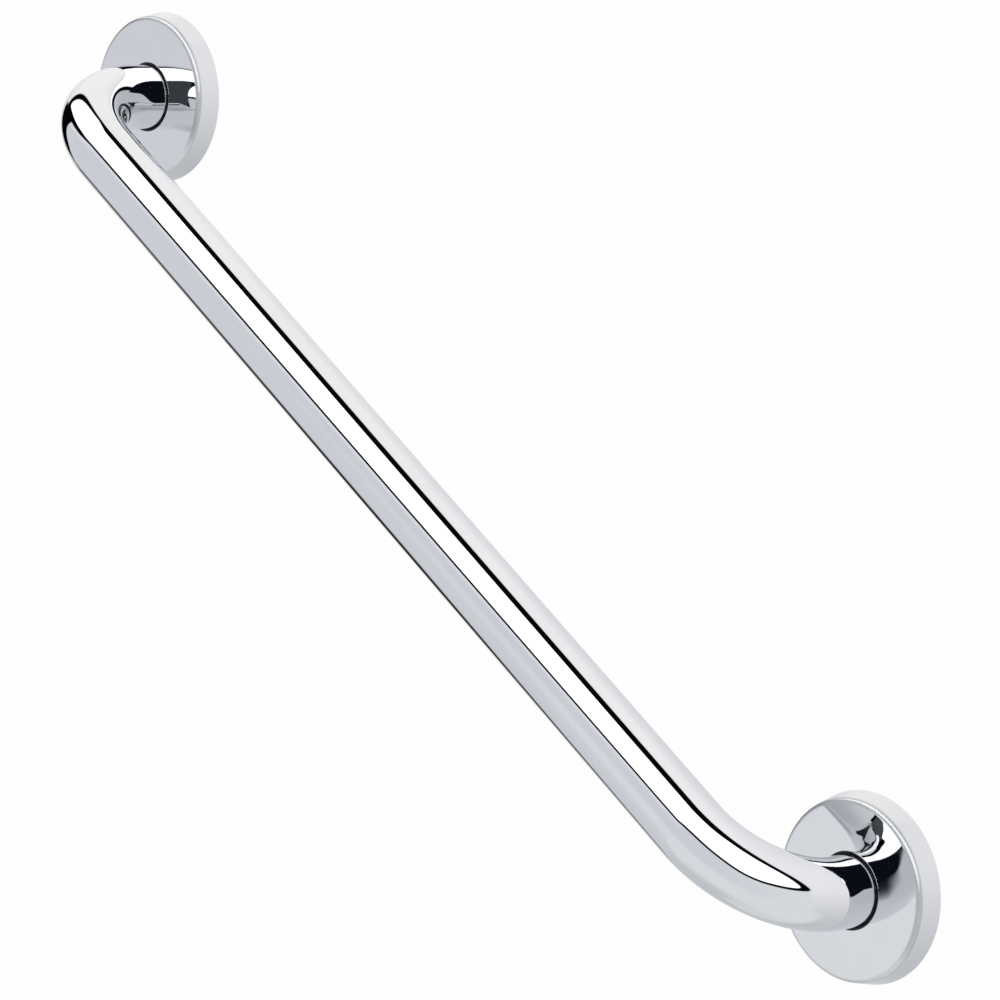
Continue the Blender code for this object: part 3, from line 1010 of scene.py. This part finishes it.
def room_colour(nodes, azimuth, elevation, behind, above, twice):
    """The pale room around the softbox: cool in front below, brighter to the right and behind."""
    front = nodes.mix(nodes.smooth(azimuth, *RIGHT_AZIMUTH), ROOM_FRONT, ROOM_RIGHT)
    low = nodes.smooth(elevation, *LOW_GLOW_ELEVATION, 1.0, 0.0)
    front = nodes.mix(nodes.times(nodes.smooth(azimuth, *LOW_GLOW_AZIMUTH), low), front, ROOM_RIGHT)
    leftward = nodes.smooth(azimuth, *EDGE_GLOW_AZIMUTH, 1.0, 0.0)
    front = nodes.mix(nodes.times(nodes.smooth(above, *EDGE_GLOW_ABOVE), leftward), front, ROOM_EDGE)
    deep_share = nodes.smooth(azimuth, *DEEP_AZIMUTH, 1.0, DEEP_RIGHT_SHARE)
    deep = nodes.times(nodes.smooth(elevation, *DEEP_ELEVATION, 1.0, 0.0), deep_share)
    front = nodes.mix(deep, front, ROOM_DEEP)
    back = nodes.mix(nodes.smooth(elevation, *BACK_ELEVATION), ROOM_BACK_LOW, ROOM_BACK_HIGH)
    left_band = nodes.band(azimuth, *LEFT_GLOW_AZIMUTH, LEFT_GLOW_SOFTNESS)
    left_glow = nodes.times(left_band, nodes.smooth(elevation, *LEFT_GLOW_ELEVATION))
    kept = nodes.math("MULTIPLY_ADD", twice, -LEFT_GLOW_LOSS, 1.0)
    back = nodes.mix(nodes.times(left_glow, kept), back, ROOM_BACK_LEFT)
    low_shift = nodes.smooth(elevation, *LOW_RIGHT_ELEVATION, LOW_RIGHT_SHIFT, 0.0)
    low_right = nodes.times(nodes.smooth(azimuth, *LOW_RIGHT_AZIMUTH), low_shift)
    return nodes.mix(nodes.smooth(nodes.minus(behind, low_right), *BACK_START), front, back)


SHADE_LEFT_SLOPE = -0.12
SHADE_LEFT = -92.4
SHADE_RIGHT = -58
SHADE_TOP_AZIMUTH = (-80, -62)
SHADE_TOPS = (22.0, 7.5)
SHADE_BOTTOM_AZIMUTH = (-82, -73)
SHADE_BOTTOMS = (-37.0, -25.0)
SHADE_SOFTNESS = 1.5
SHADE_ELEVATION = (-25, 15)
DIM_FLOOR_AZIMUTH = (-78, -48)
DIM_FLOOR_SIDE_SOFTNESS = 6.0
DIM_FLOOR_ELEVATION = (-68, -48)
DIM_FLOOR_SOFTNESS = 4.0


def left_shade(nodes, azimuth, elevation, lit):
    """The dark left end of the room, and the dimmer floor before it, as two mirrors pass them on."""
    left = nodes.math("MULTIPLY_ADD", elevation, SHADE_LEFT_SLOPE, SHADE_LEFT)
    top = nodes.linear(azimuth, *SHADE_TOP_AZIMUTH, *SHADE_TOPS)
    bottom = nodes.smooth(azimuth, *SHADE_BOTTOM_AZIMUTH, *SHADE_BOTTOMS)
    sides = nodes.band(azimuth, left, SHADE_RIGHT, SHADE_SOFTNESS)
    below_top = nodes.smooth(nodes.minus(top, elevation), -SHADE_SOFTNESS, SHADE_SOFTNESS)
    over_bottom = nodes.smooth(nodes.minus(elevation, bottom), -SHADE_SOFTNESS, SHADE_SOFTNESS)
    shade = nodes.mix(nodes.smooth(elevation, *SHADE_ELEVATION), LEFT_SHADE_LOW, LEFT_SHADE_HIGH)
    floor_width = nodes.band(azimuth, *DIM_FLOOR_AZIMUTH, DIM_FLOOR_SIDE_SOFTNESS)
    floor_height = nodes.band(elevation, *DIM_FLOOR_ELEVATION, DIM_FLOOR_SOFTNESS)
    dimmed = nodes.mix(nodes.times(floor_width, floor_height), lit, LEFT_FLOOR)
    return nodes.mix(nodes.times(sides, below_top, over_bottom), dimmed, shade)


def make_world():
    """The studio as reflected in the chrome. The camera itself sees only the pale backdrop."""
    world = bpy.data.worlds.new("studio")
    world.use_nodes = True
    world.cycles.sampling_method = "NONE"  # lamp sampling would count one bounce fewer than a reflection does
    bpy.context.scene.world = world
    nodes = Nodes(world.node_tree)
    direction = nodes.add("ShaderNodeTexCoord").outputs["Generated"]
    split = nodes.add("ShaderNodeSeparateXYZ", {"Vector": direction}).outputs
    azimuth = nodes.math("DEGREES", nodes.math("ARCTAN2", split["X"], nodes.times(split["Y"], -1.0)))
    elevation = nodes.math("DEGREES", nodes.math("ARCSINE", split["Z"]))
    behind = nodes.math("DEGREES", nodes.math("ARCSINE", split["Y"]))
    path = nodes.add("ShaderNodeLightPath").outputs
    # The world counts itself as one more bounce, so a ray that met two mirrors has a depth of three.
    twice = nodes.math("GREATER_THAN", path["Ray Depth"], 2.5)
    softbox, border, above = softbox_masks(nodes, azimuth, elevation, behind, split["X"], twice)
    gap = nodes.times(gap_mask(nodes, azimuth, elevation, above), nodes.minus(1.0, twice))
    room = room_colour(nodes, azimuth, elevation, behind, above, twice)
    bordered = nodes.mix(border, nodes.mix(gap, room, FLAG_BLACK), FLAG_BLACK)
    lit = nodes.mix(softbox, bordered, grey(SOFTBOX_WHITE))
    reflected = nodes.mix(twice, lit, left_shade(nodes, azimuth, elevation, lit))
    colour = nodes.mix(path["Is Camera Ray"], reflected, grey(BACKDROP_WHITE))
    background = nodes.add("ShaderNodeBackground", {"Color": colour, "Strength": 1.0})
    nodes.add("ShaderNodeOutputWorld", {"Surface": background.outputs[0]})


FLAG_DISTANCE = 1.2
FLAG_LEFT = -0.16
FLAG_REACH = 4.0
FLAG_HEIGHT = 3.0
FLAG_SIDE_SOFTNESS = 0.04
FLAG_DARK = (0.006, 0.007, 0.013, 1.0)
FLAG_DIM = (0.066, 0.071, 0.078, 1.0)

# The flag's outlines, in metres on its own plane, as the rail's left end and its right end see it.
LEFT_TOP_SLOPE = -0.593
LEFT_TOP = 2.71
LEFT_BOTTOM_X = (0.35, 1.25)
LEFT_BOTTOMS = (0.60, 0.33)
LEFT_DIP_X = (0.0, 0.4)
LEFT_DIP = 0.07
LEFT_SOFTNESS = 0.02
RIGHT_BOTTOM = 0.79
RIGHT_SAG_X = (0.6, 1.2)
RIGHT_SAG = 0.52
RIGHT_SHARP = 0.02
RIGHT_BLURS = (0.02, 0.32)
RIGHT_END_X = (1.85, 2.30)
RIGHT_PAINTED = (0.02, 1.46)
RIGHT_SOFTNESS = 0.01


def flag_shape(nodes):
    """The flag's mask and its colour, both as the left leg's end sees it and as the right leg's end does.

    Each ray is traced back to the cover's face, which tells the two ends apart. Inside the leg's circle there
    it came by way of the leg, and there the flag looks paler or blurred. Below its dark edge, the right end
    sees it painted like the room."""
    geometry = nodes.add("ShaderNodeNewGeometry").outputs
    place = nodes.add("ShaderNodeSeparateXYZ", {"Vector": geometry["Position"]}).outputs
    back = nodes.add("ShaderNodeSeparateXYZ", {"Vector": geometry["Incoming"]}).outputs
    run = FLAG_DISTANCE - COVER_DEPTH
    start_x = nodes.math("MULTIPLY_ADD", nodes.math("DIVIDE", back["X"], back["Y"]), run, place["X"])
    start_z = nodes.math("MULTIPLY_ADD", nodes.math("DIVIDE", back["Z"], back["Y"]), run, place["Z"])
    at_right = nodes.math("GREATER_THAN", start_x, LEG_SPACING / 2)
    foot_x = nodes.math("MULTIPLY_ADD", at_right, -LEG_SPACING, start_x)
    foot = nodes.add("ShaderNodeCombineXYZ", {"X": foot_x, "Y": start_z}).outputs[0]
    radius = nodes.add("ShaderNodeVectorMath", {0: foot}, operation="LENGTH").outputs["Value"]
    by_leg = nodes.math("LESS_THAN", radius, (TUBE_RADIUS + COVER_HOLE_RADIUS) / 2)

    left_top = nodes.math("MULTIPLY_ADD", place["X"], LEFT_TOP_SLOPE, LEFT_TOP)
    left_dip = nodes.smooth(place["X"], *LEFT_DIP_X, LEFT_DIP, 0.0)
    left_bottom = nodes.minus(nodes.smooth(place["X"], *LEFT_BOTTOM_X, *LEFT_BOTTOMS), left_dip)
    left_mask = nodes.band(place["Z"], left_bottom, left_top, LEFT_SOFTNESS)
    left_colour = nodes.mix(by_leg, FLAG_DARK, FLAG_DIM)

    past = nodes.math("MAXIMUM", nodes.minus(place["X"], RIGHT_SAG_X[0]), 0.0)
    sag = nodes.times(past, past, RIGHT_SAG)
    right_bottom = nodes.minus(RIGHT_BOTTOM, nodes.times(sag, by_leg))
    leg_blur = nodes.smooth(place["X"], *RIGHT_SAG_X, *RIGHT_BLURS)
    blur = nodes.math("MULTIPLY_ADD", by_leg, leg_blur, RIGHT_SHARP)
    over = nodes.smooth(nodes.minus(place["Z"], right_bottom), nodes.times(blur, -1.0), blur)
    right_colour = nodes.mix(over, ROOM_FRONT, FLAG_DARK)
    right_end = nodes.smooth(place["X"], *RIGHT_END_X, 1.0, 0.0)
    right_mask = nodes.times(nodes.band(place["Z"], *RIGHT_PAINTED, RIGHT_SOFTNESS), right_end)

    mask = nodes.add("ShaderNodeMix", {0: at_right, 2: left_mask, 3: right_mask}).outputs[0]
    side = nodes.smooth(place["X"], FLAG_LEFT, FLAG_LEFT + FLAG_SIDE_SOFTNESS)
    return nodes.times(side, mask), nodes.mix(at_right, left_colour, right_colour)


def stage_mesh(name, shape):
    """Makes the shape an object of the studio, not of the rail."""
    mesh = bpy.data.meshes.new(name)
    shape.to_mesh(mesh)
    shape.free()
    obj = bpy.data.objects.new(name, mesh)
    obj.visible_diffuse = False
    obj.visible_shadow = False
    bpy.context.scene.collection.objects.link(obj)
    return obj


def make_flag():
    """The black flag round the camera. Only rays that met two mirrors see it."""
    shape = bmesh.new()
    bmesh.ops.create_grid(shape, x_segments=1, y_segments=1, size=0.5)
    bmesh.ops.rotate(shape, verts=shape.verts, matrix=Matrix.Rotation(QUARTER_TURN, 3, "X"))
    bmesh.ops.scale(shape, verts=shape.verts, vec=(FLAG_REACH, 1.0, FLAG_HEIGHT))
    flag = stage_mesh("flag", shape)
    flag.location = (FLAG_LEFT + FLAG_REACH / 2, -FLAG_DISTANCE, FLAG_HEIGHT / 2)
    flag.visible_camera = False
    material, nodes, _ = new_material("flag_cloth")
    mask, shade = flag_shape(nodes)
    path = nodes.add("ShaderNodeLightPath").outputs
    # At a surface the depth is the number of mirrors met before it.
    twice = nodes.math("GREATER_THAN", path["Ray Depth"], 1.5)
    cloth = nodes.add("ShaderNodeEmission", {"Color": shade, "Strength": 1.0}).outputs[0]
    clear = nodes.add("ShaderNodeBsdfTransparent").outputs[0]
    mixed = nodes.add("ShaderNodeMixShader", {0: nodes.times(mask, twice), 1: clear, 2: cloth})
    nodes.add("ShaderNodeOutputMaterial", {"Surface": mixed.outputs[0]})
    material.cycles.emission_sampling = "NONE"
    flag.data.materials.append(material)


FLOOR_DROP = 3.0
FLOOR_RADIUS = 9.0
FLOOR_SEGMENTS = 96
FLOOR_SHADES = (BACKDROP_WHITE - 0.004, BACKDROP_WHITE)


def make_floor():
    """A plain pale floor, so far below that a camera looking up at the rail is still above it."""
    shape = bmesh.new()
    bmesh.ops.create_circle(shape, cap_ends=True, segments=FLOOR_SEGMENTS, radius=FLOOR_RADIUS)
    floor = stage_mesh("floor", shape)
    floor.location = (LEG_SPACING / 2, 0.0, cad_box[0].z - FLOOR_DROP)
    floor.visible_glossy = False
    material, nodes, position = new_material("pale_floor")
    mottle = nodes.noise(position, 1.5, detail=2.0)
    shade = nodes.linear(mottle, 0.3, 0.7, *FLOOR_SHADES)
    glow = nodes.add("ShaderNodeEmission", {"Color": grey(1.0), "Strength": shade})
    nodes.add("ShaderNodeOutputMaterial", {"Surface": glow.outputs[0]})
    floor.data.materials.append(material)


KEY_SIZE = 1.6
KEY_POWER = 18.0
KEY_OFFSET = Vector((-0.5, -1.5, 1.6))


def make_key_light(centre):
    """A large soft lamp in front and above. Metal doesn't reflect it, so it lights only nylon and rubber."""
    lamp = bpy.data.lights.new("key", "AREA")
    lamp.size = KEY_SIZE
    lamp.energy = KEY_POWER
    key = bpy.data.objects.new("key", lamp)
    key.location = centre + KEY_OFFSET
    key.rotation_mode = "QUATERNION"
    key.rotation_quaternion = KEY_OFFSET.to_track_quat("Z", "Y")
    key.visible_glossy = False
    key.visible_camera = False
    bpy.context.scene.collection.objects.link(key)


# The camera looks at a point near the object's middle, from the right, from above and tilted.
CAMERA_AZIMUTH = math.radians(37.289)
CAMERA_ELEVATION = math.radians(29.826)
CAMERA_ROLL = math.radians(27.818)
CAMERA_DISTANCE = 2.0548
CAMERA_AIM = Vector((0.0280, 0.0218, 0.0007))  # from the middle of the object's box
CAMERA_LENS = 154.92
CAMERA_SENSOR = 36.0
CAMERA_CLIP = (0.05, 100.0)


def make_camera(centre):
    camera_data = bpy.data.cameras.new("camera")
    camera_data.lens = CAMERA_LENS
    camera_data.sensor_width = CAMERA_SENSOR
    camera_data.clip_start, camera_data.clip_end = CAMERA_CLIP
    camera = bpy.data.objects.new("camera", camera_data)
    flat = math.cos(CAMERA_ELEVATION)
    side = math.sin(CAMERA_AZIMUTH) * flat
    ahead = math.cos(CAMERA_AZIMUTH) * flat
    back = Vector((side, -ahead, math.sin(CAMERA_ELEVATION)))
    camera.location = centre + CAMERA_AIM + back * CAMERA_DISTANCE
    aim = (-back).to_track_quat("-Z", "Y").to_matrix()
    camera.rotation_mode = "QUATERNION"
    camera.rotation_quaternion = (aim @ Matrix.Rotation(CAMERA_ROLL, 3, "Z")).to_quaternion()
    bpy.context.scene.collection.objects.link(camera)
    bpy.context.scene.camera = camera


object_centre = (cad_box[0] + cad_box[1]) / 2
make_rail()
make_world()
make_flag()
make_floor()
make_key_light(object_centre)
make_camera(object_centre)
bpy.context.scene.view_settings.view_transform = "Standard"
